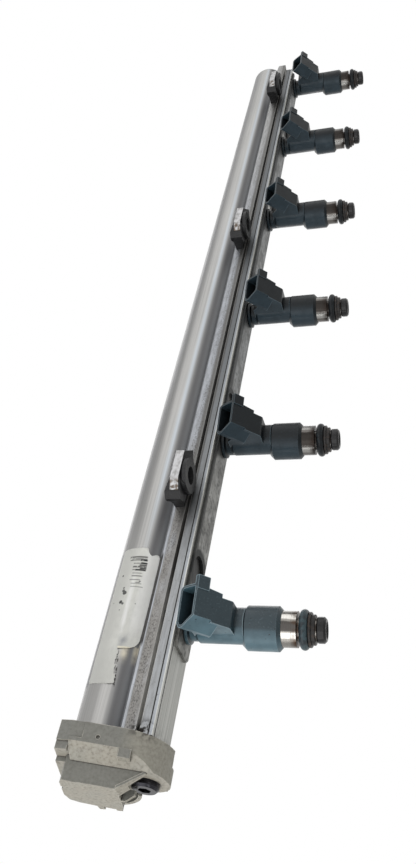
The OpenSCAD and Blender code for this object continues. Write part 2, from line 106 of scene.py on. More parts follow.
# where all the masks meet; a plain number weakens the result
def overlap(tree, first, *others):
    for other in others:
        first = addNode(tree, "Math", {0: first, 1: other}, operation="MULTIPLY").outputs[0]
    return first


# where any of the masks lies
def either(tree, first, *others):
    for other in others:
        first = addNode(tree, "Math", {0: first, 1: other}, operation="MAXIMUM").outputs[0]
    return first


# 1 where the value has passed every edge; each edge runs softly from where it is 0 to where it is 1
def pastEdges(tree, value, *edges):
    return overlap(tree, *[addNode(tree, "MapRange", {"Value": value, "From Min": start, "From Max": end},
                                   interpolation_type="SMOOTHSTEP").outputs[0] for start, end in edges])


# 1 between low and high, with soft ends
def bandMask(tree, value, low, high, soft):
    return pastEdges(tree, value, (low - soft, low + soft), (high + soft, high - soft))


# noise cut to soft patches; cut is the level where a patch starts
def patchMask(tree, place, sizeMm, cut, soft, stretch=(1, 1, 1), detail=4.0):
    spread = addNode(tree, "Mapping", {"Vector": place, "Scale": stretch})
    noise = addNode(tree, "TexNoise", {"Vector": spread.outputs[0], "Scale": perMetre(sizeMm),
                                       "Detail": detail})
    return pastEdges(tree, noise.outputs[0], (cut - soft, cut + soft))


# soft round spot about a point of a plane, with an uneven rim
def spotMask(tree, across, along, middle, radius, rim):
    flat = addNode(tree, "CombineXYZ", {0: across, 1: along, 2: 0.0}).outputs[0]
    gap = addNode(tree, "VectorMath", {0: flat, 1: (middle[0], middle[1], 0)},
                  operation="DISTANCE").outputs["Value"]
    uneven = addNode(tree, "TexNoise", {"Vector": flat, "Scale": 1.6 / radius, "Detail": 3.0}).outputs[0]
    wavy = addNode(tree, "Math", {0: uneven, 1: radius * rim * 4, 2: gap},
                   operation="MULTIPLY_ADD").outputs[0]
    return pastEdges(tree, wavy, (radius * (1 + rim * 3), radius * (1 + rim)))


# round spots on the strip's keyholes
def keyholeSpots(tree, x, y, radius, rim):
    firstKey, half = section["firstInjector"] + section["keyShift"], section["pitch"] / 2
    inPitch = addNode(tree, "Math", {0: y, 1: firstKey + half, 2: firstKey - half},
                      operation="WRAP").outputs[0]
    return spotMask(tree, x, inPitch, (section["injectorX"], firstKey), radius, rim)


# lighter outer edges, for wear and a painted edge highlight: rays cast inwards leave the part early there
def edgeWearAndHighlight(tree, reachMm, low=0.05, high=0.5):
    inside = addNode(tree, "AmbientOcclusion", {"Distance": reachMm / 1000},
                     inside=True, only_local=True, samples=6)
    return pastEdges(tree, inside.outputs["AO"], (1 - low, 1 - high))


# dirt and painted shade in corners and where pieces meet
def cornerDirtAndShade(tree, reachMm, low=0.4, high=0.95):
    outside = addNode(tree, "AmbientOcclusion", {"Distance": reachMm / 1000}, samples=6)
    return pastEdges(tree, outside.outputs["AO"], (1 - low, 1 - high))


# lays colours over each other: each layer is its share and its colour
def layColours(tree, colour, *layers):
    for share, hexCode in layers:
        colour = addNode(tree, "Mix", {0: share, 6: colour, 7: linearColour(hexCode)},
                         data_type="RGBA").outputs[2]
    return colour


# what every material shares: a colour, a roughness that follows a mask, and a fine relief from a height
def finishSurface(tree, shader, colour, dullness, roughness, height, depthMm, strength=0.3):
    tree.links.new(colour, shader.inputs["Base Color"])
    rough = addNode(tree, "MapRange", {"Value": dullness, "To Min": roughness[0], "To Max": roughness[1]})
    tree.links.new(rough.outputs[0], shader.inputs["Roughness"])
    bump = addNode(tree, "Bump", {"Height": height, "Strength": strength, "Distance": depthMm / 1000})
    tree.links.new(bump.outputs[0], shader.inputs["Normal"])


# what lies on a metal isn't metal itself, so the cover takes the metal's share away
def coverMetal(tree, shader, cover):
    metalLeft = addNode(tree, "Math", {0: 1.0, 1: cover}, operation="SUBTRACT")
    tree.links.new(metalLeft.outputs[0], shader.inputs["Metallic"])


# gives the material to every node whose name starts with the prefix
def dress(prefix, material):
    for name, node in nodes.items():
        if name.startswith(prefix):
            node.data.materials.clear()
            node.data.materials.append(material)


print("camera and light")

# solved from the photo's six even pitches and round barrels; the place is in metres, the lens in millimetres
camera = {
    "place": (0.226401, -0.37643, -0.092847), "lens": 32.544, "sensor": 36.0,
    "right": (-0.22637, 0.15987, -0.96083), "up": (0.68505, 0.72738, -0.04037),
    "back": (0.69243, -0.66736, -0.27417),
}


def makeCamera(spec):
    data = bpy.data.cameras.new("camera")
    data.lens, data.sensor_width = spec["lens"], spec["sensor"]
    data.clip_start, data.clip_end = 0.01, 20
    eye = bpy.data.objects.new("camera", data)
    scene.collection.objects.link(eye)
    turn = Matrix((spec["right"], spec["up"], spec["back"])).transposed()
    eye.matrix_world = Matrix.Translation(spec["place"]) @ turn.to_4x4()
    scene.camera = eye


makeCamera(camera)

# soft boxes: where each stands, its size in metres, and how bright its face is when white paper is 1
lamps = {
    "keySoftbox": {"place": (0.3, -1.6, -0.05), "size": 1.9, "level": 1.7},
    "topSoftbox": {"place": (1.2, 0.9, 0.3), "size": 1.9, "level": 0.7},
    "sideSoftbox": {"place": (1.3, -0.7, 0.1), "size": 1.5, "level": 0.85},
    "rearSoftbox": {"place": (-0.9, 0.9, 0.6), "size": 1.5, "level": 0.8},
}
studio = {
    "lampTarget": (-0.01, 0, -0.01),
    "ambient": 0.44,          # share of plain white light that comes from all round
    "surround": "#ffffff", "paper": "#e6e6e4",
    "paperLift": 0.38,        # glow that whitens the paper for the camera and in reflections
    "floorHeight": -0.1,      # clear of the camera, which looks up from under the nozzles
    "floorFade": (0.5, 1.2),  # between these distances the paper turns into the surround
}


def makeLamps(specs, target):
    for name, spec in specs.items():
        data = bpy.data.lights.new(name, "AREA")
        data.size = spec["size"]
        data.energy = spec["level"] * math.pi * spec["size"] ** 2
        lamp = bpy.data.objects.new(name, data)
        scene.collection.objects.link(lamp)
        lamp.location = spec["place"]
        lamp.rotation_euler = (Vector(target) - lamp.location).to_track_quat("-Z", "Y").to_euler()


makeLamps(lamps, studio["lampTarget"])


# the rays that see the white surround, and its strength: full for them, the ambient share as a light
def surroundLevel(tree, ambient):
    path = addNode(tree, "LightPath").outputs
    seen = either(tree, path["Is Camera Ray"], path["Is Glossy Ray"], path["Is Transmission Ray"])
    return seen, addNode(tree, "MapRange", {"Value": seen, "To Min": ambient, "To Max": 1.0}).outputs[0]


def makeWorld(spec):
    scene.world = bpy.data.worlds.new("studio")
    tree = emptyTree(scene.world)
    level = surroundLevel(tree, spec["ambient"])[1]
    surround = addNode(tree, "Background", {"Color": linearColour(spec["surround"]), "Strength": level})
    addNode(tree, "OutputWorld", {"Surface": surround.outputs[0]})


makeWorld(studio)


# pale paper that keeps the part's shadow and fades into the surround far out
def makeFloor(spec):
    reach, height = spec["floorFade"][1] * 1.1, spec["floorHeight"]
    corners = [(-reach, -reach, height), (reach, -reach, height),
               (reach, reach, height), (-reach, reach, height)]
    mesh = bpy.data.meshes.new("floor")
    mesh.from_pydata(corners, [], [(0, 1, 2, 3)])
    floor = bpy.data.objects.new("floor", mesh)
    scene.collection.objects.link(floor)
    material = bpy.data.materials.new("palePaper")
    tree = emptyTree(material)
    seen, level = surroundLevel(tree, spec["ambient"])
    white = linearColour(spec["surround"])
    paper = addNode(tree, "BsdfDiffuse", {"Color": linearColour(spec["paper"])})
    lift = addNode(tree, "Emission", {"Color": white, "Strength": overlap(tree, seen, spec["paperLift"])})
    lifted = addNode(tree, "AddShader", {0: paper.outputs[0], 1: lift.outputs[0]})
    surround = addNode(tree, "Emission", {"Color": white, "Strength": level})
    place = addNode(tree, "TexCoord").outputs["Object"]
    flat = addNode(tree, "VectorMath", {0: place, 1: (1, 1, 0)}, operation="MULTIPLY")
    out = addNode(tree, "VectorMath", {0: flat.outputs[0]}, operation="LENGTH").outputs["Value"]
    faded = addNode(tree, "MixShader", {0: pastEdges(tree, out, spec["floorFade"]), 1: lifted.outputs[0],
                                        2: surround.outputs[0]})
    addNode(tree, "OutputMaterial", {"Surface": faded.outputs[0]})
    mesh.materials.append(material)


makeFloor(studio)

print("rail")

railLook = {
    # the tube with its painted reflection, shade and highlight, then the rib's top, the land beside the slot,
    # the side towards the injectors, and dirt with painted shade and light
    "bare": "#9a9997", "farBare": "#a09f9c", "streak": "#7f7f7e", "paintedDarkReflection": "#69696a", "paintedSideShade": "#8f9194",
    "paintedFarShade": "#626263", "cool": "#b0bac4", "glueAndGlare": "#e2dac6",
    "ribPale": "#999ca1", "ribFar": "#9d9d9c", "ribBrown": "#858380", "ribDarker": "#646361", "pit": "#3c3937",
    "land": "#888a8c", "landFar": "#5f6265", "landPale": "#92969b", "line": "#403f3e",
    "face": "#bbbbb7", "faceStreak": "#989893",
    "slotPaintedLight": "#cfcecb", "grimeAndShade": "#23201d", "hole": "#0b0b0a",
    "roughness": (0.28, 0.74), "dieLine": 0.45, "dieRun": 80, "cloud": 16, "pitSize": 0.42,    # sizes in mm
    # where each layer comes in along the rail: y in mm where there is none of it and where it is full
    "runs": {"nearCap": (-135, -195), "away": (-230, -160), "farOff": (-40, 190), "pastLabel": (-225, -205),
             "ribDarker": (-250, -150), "ribEdgeShade": (-212, -205), "landFar": (-260, -60),
             "slotSide": (-215, -170), "slotGrime": (-242, -215), "belowLabel": (-250.5, -251.5)},
    # strips across the rib and the land: z from and to in mm, then how soft their edges are
    "bands": {"ribPale": (3.1, 9.6, 0.2), "ribBrown": (3.1, 7.0, 0.15), "ribDarker": (2.9, 5.0, 0.7),
              "ribLine": (7.0, 7.2, 0.12), "land": (-3.1, 1.6, 0.1), "landPale": (-3.1, -1.9, 0.15),
              "slotSide": (0.7, 1.6, 0.25), "sightLine": (-1.75, -1.3, 0.12),
              "pitted": (3.9, 6.8, 0.5), "flats": (-2.6, 9.0, 0.3)},
    # dirt along the label's tear: y times lean plus the angle is the same all along it
    "tear": {"lean": 0.485, "across": (-117.6, -114.8, 0.6), "along": (-266.5, -253.5, 0.6)},
}


# extruded aluminium, mill finish: fine lines along the draw give a wide soft highlight across it;
# the low specular level keeps the dirt and painted shade on it dark
def makeRailMaterial(spec):
    material, tree, shader = newMaterial("extrudedAluminium", {"Metallic": 1.0, "Anisotropic": 0.4,
                                                               "Specular IOR Level": 0.2})
    place, x, y, z = placeOn(tree)
    angle = tubeAngle(tree, x, z)
    onTube = pastEdges(tree, x, (-9.9, -10.6))
    onTop = overlap(tree, pastEdges(tree, x, (-11.7, -11.3)), pastEdges(tree, z, (9.8, 9.4)))
    runs = {name: pastEdges(tree, y, edge) for name, edge in spec["runs"].items()}
    bands = {name: overlap(tree, bandMask(tree, z, *band), onTop) for name, band in spec["bands"].items()}

    # tube: painted dark reflection and painted shade towards the rib, a painted cool highlight along its top,
    # painted shade on its far side and beside the label
    lineScale, runScale = perMetre(spec["dieLine"]), perMetre(spec["dieRun"])
    drawn = addNode(tree, "Mapping", {"Vector": place, "Scale": (lineScale, runScale, lineScale)})
    lines = addNode(tree, "TexNoise", {"Vector": drawn.outputs[0], "Scale": 1.0, "Detail": 3.0,
                                       "Roughness": 0.7}).outputs[0]
    lineShare = overlap(tree, pastEdges(tree, lines, (0.35, 0.75)), 0.5)
    cloud = overlap(tree, patchMask(tree, place, spec["cloud"], 0.52, 0.22, (1, 0.35, 1)), 0.25)
    paintedDarkReflection = overlap(tree, pastEdges(tree, angle, (5, 22), (80, 55)), onTube)
    paintedSideShade = overlap(tree, pastEdges(tree, angle, (22, 34)), onTube, 0.55)    # and on over the injectors' side
    cool = overlap(tree, bandMask(tree, angle, 3, 11, 5), onTube, runs["away"], 0.5)
    besideLabel = overlap(tree, pastEdges(tree, angle, (-42, -44)), bandMask(tree, y, -266, -210, 1))
    paintedFarShade = either(tree, overlap(tree, pastEdges(tree, angle, (-8, -42)), runs["away"], 0.8), besideLabel)
    metal = layColours(tree, linearColour(spec["bare"]), (runs["farOff"], spec["farBare"]),
                       (lineShare, spec["streak"]), (cloud, spec["streak"]), (paintedFarShade, spec["paintedFarShade"]),
                       (cool, spec["cool"]), (paintedDarkReflection, spec["paintedDarkReflection"]))

    # rib top: pale, brown near the cap, a darker strip towards the slot, painted shade on its outer edge past
    # the label, and a painted shadow line by the label
    brown = overlap(tree, bands["ribBrown"], runs["nearCap"],
                    patchMask(tree, place, 5, 0.36, 0.2, (1, 0.25, 1)))
    ribEdgeShade = overlap(tree, pastEdges(tree, z, (8.4, 9.1)), onTop, runs["ribEdgeShade"], 0.4)
    paintedShadowByLabel = overlap(tree, pastEdges(tree, z, (7.45, 7.8)), onTop, bandMask(tree, y, -251, -213, 1.5), 0.92)
    ribbed = layColours(tree, metal, (bands["ribPale"], spec["ribPale"]),
                        (overlap(tree, bands["ribPale"], runs["farOff"]), spec["ribFar"]),
                        (brown, spec["ribBrown"]),
                        (overlap(tree, bands["ribDarker"], runs["ribDarker"], 0.95), spec["ribDarker"]),
                        (overlap(tree, bands["ribLine"], runs["nearCap"], 0.6), spec["pit"]),
                        (ribEdgeShade, spec["ribDarker"]), (paintedSideShade, spec["paintedSideShade"]), (paintedShadowByLabel, spec["grimeAndShade"]))

    # land: darker along the rail, paler beyond its sighting line
    darkLines = either(tree, overlap(tree, bands["sightLine"], 0.8),
                       overlap(tree, bands["slotSide"], runs["slotSide"], 0.8))
    landed = layColours(tree, ribbed, (bands["land"], spec["land"]),
                        (overlap(tree, bands["land"], runs["landFar"]), spec["landFar"]),
                        (overlap(tree, bands["landPale"], 0.8), spec["landPale"]), (darkLines, spec["line"]))

    # pits: many along the rib's middle, few elsewhere on top
    manyPits = overlap(tree, patchMask(tree, place, spec["pitSize"], 0.55, 0.08, (1, 0.5, 1), 6.0),
                       bands["pitted"], patchMask(tree, place, 9, 0.4, 0.15, (1, 0.3, 1)))
    fewPits = overlap(tree, patchMask(tree, place, spec["pitSize"], 0.67, 0.03, (1, 0.7, 1), 6.0),
                      bands["flats"])
    pits = either(tree, manyPits, fewPits)
    mottle = overlap(tree, patchMask(tree, place, 0.9, 0.5, 0.2, (1, 0.15, 1)), bands["flats"], 0.4)
    pitted = layColours(tree, landed, (mottle, spec["ribDarker"]), (overlap(tree, pits, 0.65), spec["pit"]))

    # side towards the injectors: dull, pale beige, with long streaks
    onFace = pastEdges(tree, z, (-2.7, -3.0))
    faceLines = overlap(tree, pastEdges(tree, lines, (0.42, 0.62)), onFace, 0.9)
    faced = layColours(tree, pitted, (onFace, spec["face"]), (faceLines, spec["faceStreak"]))

    # the slot painted pale against its shade (painted light), dirt with painted shade in corners, black grime
    # round the cap joint, and black dirt with painted shade behind the strip's keyholes
    inSlot = bandMask(tree, z, section["slotLow"] - 0.1, section["slotHigh"] + 0.05, 0.1)
    slotGrime = overlap(tree, inSlot, runs["slotGrime"], 0.75)
    corners = overlap(tree, cornerDirtAndShade(tree, 1.4, 0.45), 0.6)
    atCap = bandMask(tree, y, section["capJoint"] - 2, section["capJoint"] + 4, 2.5)
    jointGrime = overlap(tree, atCap, bandMask(tree, z, -2.5, 4.5, 1.5),
                         patchMask(tree, place, 2.0, 0.47, 0.05))
    keyholeDirtAndShade = overlap(tree, onFace, keyholeSpots(tree, x, y, section["keyRadius"], 0.03))
    withDirtAndPaintedLight = layColours(tree, faced, (corners, spec["grimeAndShade"]), (inSlot, spec["slotPaintedLight"]),
                       (either(tree, slotGrime, jointGrime), spec["grimeAndShade"]), (keyholeDirtAndShade, spec["hole"]))

    # old glue under a painted glare below the label's torn corner, and dirt with painted shadow along the
    # tear, which leans across the tube
    glueHigh = overlap(tree, bandMask(tree, angle, 12, 20, 7), pastEdges(tree, y, (-259, -253.5)), 0.9)
    glueLow = overlap(tree, bandMask(tree, angle, 31, 43, 3), pastEdges(tree, y, (-259, -254)), 0.6)
    glueAndGlare = overlap(tree, either(tree, glueHigh, glueLow), onTube, runs["belowLabel"],
                   patchMask(tree, place, 4.5, 0.36, 0.2))
    tear = spec["tear"]
    lean = addNode(tree, "Math", {0: y, 1: tear["lean"], 2: angle}, operation="MULTIPLY_ADD").outputs[0]
    tearDirtAndShadow = overlap(tree, bandMask(tree, lean, *tear["across"]), bandMask(tree, y, *tear["along"]), onTube,
                       patchMask(tree, place, 1.1, 0.5, 0.08), 0.8)
    colour = layColours(tree, withDirtAndPaintedLight, (glueAndGlare, spec["glueAndGlare"]), (tearDirtAndShadow, spec["grimeAndShade"]))

    # the dirt, the painted shadow and the slot's painted light are not metal, and dull the surface
    dirtAndPaintedLight = either(tree, inSlot, jointGrime, paintedShadowByLabel, tearDirtAndShadow)
    coverMetal(tree, shader, either(tree, dirtAndPaintedLight, keyholeDirtAndShade, paintedSideShade, overlap(tree, glueAndGlare, 0.8),
                                    overlap(tree, corners, 0.7)))
    dullness = either(tree, overlap(tree, either(tree, dirtAndPaintedLight, corners), 0.9),
                      overlap(tree, either(tree, brown, paintedDarkReflection, overlap(tree, onTop, runs["pastLabel"])), 0.5),
                      overlap(tree, onFace, 0.3), overlap(tree, lineShare, 0.6))
    relief = addNode(tree, "Math", {0: pits, 1: -1.0, 2: lines}, operation="MULTIPLY_ADD").outputs[0]
    finishSurface(tree, shader, colour, dullness, spec["roughness"], relief, 0.05, 0.35)
    alongRail = addNode(tree, "CombineXYZ", {0: 0.0, 1: 1.0, 2: 0.0})
    tree.links.new(alongRail.outputs[0], shader.inputs["Tangent"])
    return material


dress("rail_extrusion", makeRailMaterial(railLook))

plugLook = {"bare": "#a6a6a4", "ring": "#8c8c8a", "ringSize": 0.4, "roughness": (0.24, 0.44)}


# turned aluminium: rings round the axis from the tool
def makePlugMaterial(spec):
    material, tree, shader = newMaterial("turnedAluminium", {"Metallic": 1.0})
    place = placeOn(tree)[0]
    centred = addNode(tree, "VectorMath",
                      {0: place, 1: (-section["tubeX"] / 1000, 0, -section["tubeZ"] / 1000)},
                      operation="ADD")
    flat = addNode(tree, "VectorMath", {0: centred.outputs[0], 1: (1, 0, 1)}, operation="MULTIPLY")
    out = addNode(tree, "VectorMath", {0: flat.outputs[0]}, operation="LENGTH")
    rings = addNode(tree, "TexNoise", {"W": out.outputs["Value"], "Scale": perMetre(spec["ringSize"])},
                    noise_dimensions="1D").outputs[0]
    colour = layColours(tree, linearColour(spec["bare"]), (rings, spec["ring"]))
    finishSurface(tree, shader, colour, rings, spec["roughness"], rings, 0.03, 0.4)
    return material


dress("far_plug", makePlugMaterial(plugLook))

stripLook = {"zinc": "#8c8c89", "nearCap": "#9c9c97", "far": "#7f8182", "dull": "#62615f", "edge": "#8f8e8a",
             "dirtAndShade": "#232526", "scratch": 0.5, "roughness": (0.42, 0.6),
             # y in mm where there is none of a layer and where it is full
             "runs": {"nearCap": (-225, -262), "far": (-175, -120), "lipShadowAndDirt": (-262, -225),
                      "wideShadowAndDirt": (-150, -120)}}


# pressed galvanised steel: cloudy grey with long scratches and lighter edges, a black band of dirt and
# painted shadow under the rail's lip, which the low specular level keeps black
def makeStripMaterial(spec):
    material, tree, shader = newMaterial("galvanisedSteel", {"Metallic": 1.0, "Specular IOR Level": 0.15})
    place, x, y = placeOn(tree)[:3]
    runs = {name: pastEdges(tree, y, edge) for name, edge in spec["runs"].items()}
    cloud = patchMask(tree, place, 5, 0.5, 0.2, (1, 0.6, 1))
    scratches = overlap(tree, patchMask(tree, place, spec["scratch"], 0.64, 0.04, (1, 0.03, 1)), 0.6)
    # lighter outer edges: wear and a painted edge highlight
    worn = overlap(tree, edgeWearAndHighlight(tree, 0.4), 0.35)
    zinc = layColours(tree, linearColour(spec["zinc"]), (runs["nearCap"], spec["nearCap"]),
                      (runs["far"], spec["far"]), (overlap(tree, cloud, 0.5), spec["dull"]),
                      (scratches, spec["edge"]), (worn, spec["edge"]))
    # a narrow black band of painted shadow and dirt under the lip and a wider one further on; dirt and
    # painted shade round the keyholes and in the corners, and spots of dirt
    lipShadowAndDirt = overlap(tree, pastEdges(tree, x, (-14.0, -13.2)), runs["lipShadowAndDirt"])
    wideShadowAndDirt = overlap(tree, pastEdges(tree, x, (-15.8, -14.6)), runs["wideShadowAndDirt"])
    spots = overlap(tree, patchMask(tree, place, 1.6, 0.56, 0.08), 0.5)
    atKeys = overlap(tree, keyholeSpots(tree, x, y, section["keyRadius"] + 3, 0.1), 0.9)
    corners = overlap(tree, cornerDirtAndShade(tree, 1.8), 0.6)
    dirtAndShade = either(tree, overlap(tree, either(tree, lipShadowAndDirt, wideShadowAndDirt), 0.75), spots, atKeys, corners)
    colour = layColours(tree, zinc, (dirtAndShade, spec["dirtAndShade"]))
    coverMetal(tree, shader, dirtAndShade)
    finishSurface(tree, shader, colour, either(tree, cloud, dirtAndShade), spec["roughness"], scratches, 0.04)
    return material


dress("retainer_strip", makeStripMaterial(stripLook))

print("end cap")

# painted light and shade by facing: nylon towards the capped end, side towards the ports, under facing down,
# cool elsewhere
capLook = {"nylon": "#a8a59a", "cool": "#7f7f79", "side": "#a8a498", "under": "#6f6c65", "warm": "#aea595",
           "edge": "#dad5c9", "grimeAndShade": "#34302b", "fleck": "#6b655b", "roughness": (0.5, 0.66),
           "fleckSize": 1.0, "grain": 0.35, "mottleSize": 7}    # in mm


# glass-filled nylon, moulded: matt grey-beige with a fine grain; painted light and shade by facing: lighter
# towards the capped end and the ports, cooler and darker where it faces up, darkest where it faces down
def makeCapMaterial(spec):
    material, tree, shader = newMaterial("mouldedNylonGrey", {"IOR": 1.53})
    place, x, y, z = placeOn(tree)
    facing = facingOn(tree)
    # painted light and shade: each way the surface faces takes its own tone
    towardsEnd = pastEdges(tree, facing[1], (-0.3, -0.8))
    towardsPorts = overlap(tree, pastEdges(tree, facing[2], (-0.15, -0.6)), 0.8)
    downwards = overlap(tree, pastEdges(tree, facing[0], (-0.1, -0.5)), 0.7)
    mottle = patchMask(tree, place, spec["mottleSize"], 0.5, 0.2)
    fine = patchMask(tree, place, 1.0, 0.5, 0.25)
    flecks = patchMask(tree, place, spec["fleckSize"], 0.6, 0.06, (1, 1, 1), 8.0)
    fleckLevel = addNode(tree, "MapRange", {"Value": towardsEnd, "To Min": 0.1, "To Max": 0.35}).outputs[0]
    # lighter outer edges in patches: wear and a painted edge highlight
    rubbed = overlap(tree, edgeWearAndHighlight(tree, 0.35, 0.12, 0.45), patchMask(tree, place, 5, 0.45, 0.1), 0.6)
    nylon = layColours(tree, linearColour(spec["cool"]), (towardsEnd, spec["nylon"]),
                       (towardsPorts, spec["side"]), (downwards, spec["under"]),
                       (overlap(tree, mottle, towardsEnd, 0.4), spec["warm"]),
                       (overlap(tree, fine, 0.22), spec["grimeAndShade"]),
                       (overlap(tree, flecks, fleckLevel), spec["fleck"]), (rubbed, spec["edge"]))
    # grime washed out of the slot at the rail joint, and painted shade: a thin dark line in each step and
    # darker deep hollows
    atJoint = bandMask(tree, y, section["capJoint"] - 1.6, section["capJoint"] + 1.5, 1.4)
    washed = overlap(tree, atJoint, bandMask(tree, z, -4.0, 3.5, 2.0), pastEdges(tree, x, (-13, -11)),
                     patchMask(tree, place, 1.8, 0.5, 0.1), 0.85)
    corners = overlap(tree, cornerDirtAndShade(tree, 0.6, 0.15, 0.5), 0.8)
    deepShade = overlap(tree, cornerDirtAndShade(tree, 5.0, 0.55), 0.6)
    colour = layColours(tree, nylon, (either(tree, washed, corners, deepShade), spec["grimeAndShade"]))
    grain = addNode(tree, "TexNoise", {"Vector": place, "Scale": perMetre(spec["grain"]),
                                       "Detail": 2.0}).outputs[0]
    finishSurface(tree, shader, colour, fine, spec["roughness"], grain, 0.06, 0.35)
    return material


dress("end_cap", makeCapMaterial(capLook))

print("injectors")

# the first injector's look is a lighter copy of the others': painted light
bodyLook = {"nylon": "#152027", "paintedLitTone": "#2e3d46", "oilAndShade": "#0a0f12", "edge": "#5f6f78", "grimeAndShade": "#07090a",
            "dust": "#34424c", "shine": 0.2, "grain": 0.3, "roughness": (0.3, 0.44)}
firstBodyLook = {"nylon": "#3c5965", "paintedLitTone": "#567581", "oilAndShade": "#1b282e", "edge": "#9db2bc",
                 "grimeAndShade": "#0b1013", "dust": "#64777f", "shine": 0.4, "grain": 0.3, "roughness": (0.3, 0.44)}


# glass-filled nylon, moulded and slate blue: satin; painted light and shade by facing, and lighter edges
# from wear and a painted edge highlight
def makeBodyMaterial(name, spec):
    material, tree, shader = newMaterial(name, {"IOR": 1.53, "Specular IOR Level": spec["shine"]})
    place = placeOn(tree)[0]
    facing = facingOn(tree)
    cloud = patchMask(tree, place, 5, 0.5, 0.22)
    # painted light and shade: the side towards the capped end is painted lighter, the rest painted darker
    paintedLitSide = overlap(tree, pastEdges(tree, facing[1], (-0.6, -0.95)), 0.85)
    paintedShadedSide = overlap(tree, pastEdges(tree, facing[1], (-0.66, -0.45)), 0.8)
    dust = overlap(tree, patchMask(tree, place, 0.8, 0.64, 0.08), 0.2)
    dots = overlap(tree, patchMask(tree, place, 1.3, 0.7, 0.02), 0.8)
    # lighter outer edges: wear and a painted edge highlight
    edges = overlap(tree, edgeWearAndHighlight(tree, 0.4, 0.12, 0.45), 0.75)
    nylon = layColours(tree, linearColour(spec["nylon"]), (paintedLitSide, spec["paintedLitTone"]), (paintedShadedSide, spec["oilAndShade"]),
                       (overlap(tree, cloud, 0.3), spec["oilAndShade"]), (dust, spec["dust"]), (edges, spec["edge"]),
                       (dots, spec["grimeAndShade"]))
    # dirt and painted shade in corners, and painted shade deep in hollows
    dirtAndShade = either(tree, overlap(tree, cornerDirtAndShade(tree, 2.2), 0.8),
                  overlap(tree, cornerDirtAndShade(tree, 9.0, 0.3, 0.68), 0.9))
    colour = layColours(tree, nylon, (dirtAndShade, spec["grimeAndShade"]))
    grain = addNode(tree, "TexNoise", {"Vector": place, "Scale": perMetre(spec["grain"]),
                                       "Detail": 2.0}).outputs[0]
    finishSurface(tree, shader, colour, cloud, spec["roughness"], grain, 0.04, 0.25)
    return material


dress("injector_body", makeBodyMaterial("mouldedNylonShadedCopy", bodyLook))
dress("injector_body_1", makeBodyMaterial("mouldedNylonLitCopy", firstBodyLook))

# the painted reflection runs are in degrees round the core;
# the varnished end is z from and to in mm, and how soft it ends
coreLook = {"steel": "#625f5c", "paintedHighlight": "#949390", "dark": "#2b2826", "varnish": "#25201d", "ringSize": 0.3,
            "varnished": (-48, -43.6, 1.4), "darkReflectionRun": (8, 62), "brightReflectionRuns": ((-26, -4), (70, 96)),
            "roughness": (0.18, 0.4)}
# the first injector's steel is a lighter copy of the others': painted light
firstCoreLook = {"steel": "#86837e", "paintedHighlight": "#d6d3cd", "dark": "#454240", "varnish": "#46372c",
                 "ringSize": 0.3, "varnished": (-48, -43.6, 1.4), "darkReflectionRun": (4, 36),
                 "brightReflectionRuns": ((-24, -4), (41, 59)), "roughness": (0.18, 0.4)}


# turned stainless steel: fine rings, painted reflections in runs down its length, brown varnish next to the
# seal, and painted shade in its corners
def makeCoreMaterial(name, spec):
    material, tree, shader = newMaterial(name, {"Metallic": 1.0})
    place, _, _, z = placeOn(tree)
    rings = addNode(tree, "TexNoise", {"W": z, "Scale": 1 / spec["ringSize"], "Detail": 3.0},
                    noise_dimensions="1D").outputs[0]
    # degrees round the core, from its top towards the rail's capped end, a little uneven
    facing = facingOn(tree)
    towardsEnd = addNode(tree, "Math", {0: facing[1], 1: -1.0}, operation="MULTIPLY").outputs[0]
    turn = addNode(tree, "Math", {0: towardsEnd, 1: facing[0]}, operation="ARCTAN2").outputs[0]
    turned = addNode(tree, "Math", {0: turn, 1: degreesPerRadian, 2: -4.0},
                     operation="MULTIPLY_ADD").outputs[0]
    wobble = addNode(tree, "TexNoise", {"Vector": place, "Scale": perMetre(4), "Detail": 2.0}).outputs[0]
    degrees = addNode(tree, "Math", {0: wobble, 1: 8.0, 2: turned}, operation="MULTIPLY_ADD").outputs[0]
    darkReflectionRun = overlap(tree, bandMask(tree, degrees, *spec["darkReflectionRun"], 2.5), 0.95)
    brightReflectionRuns = either(tree, *[bandMask(tree, degrees, low, high, 2.5) for low, high in spec["brightReflectionRuns"]])
    grooves = overlap(tree, pastEdges(tree, rings, (0.4, 0.75)), 0.35)
    varnished = overlap(tree, bandMask(tree, z, *spec["varnished"]),
                        patchMask(tree, place, 2.5, 0.45, 0.15, (1, 1, 0.3)))
    # dirt and painted shade in corners, in the varnish colour
    corners = overlap(tree, cornerDirtAndShade(tree, 1.5), 0.8)
    colour = layColours(tree, linearColour(spec["steel"]), (darkReflectionRun, spec["dark"]),
                        (overlap(tree, brightReflectionRuns, 0.9), spec["paintedHighlight"]), (grooves, spec["dark"]),
                        (varnished, spec["varnish"]), (corners, spec["varnish"]))
    finishSurface(tree, shader, colour, rings, spec["roughness"], rings, 0.03)
    return material


dress("injector_core", makeCoreMaterial("turnedStainlessShadedCopy", coreLook))
dress("injector_core_1", makeCoreMaterial("turnedStainlessLitCopy", firstCoreLook))

print("seals, spacers, nozzle caps and lugs")

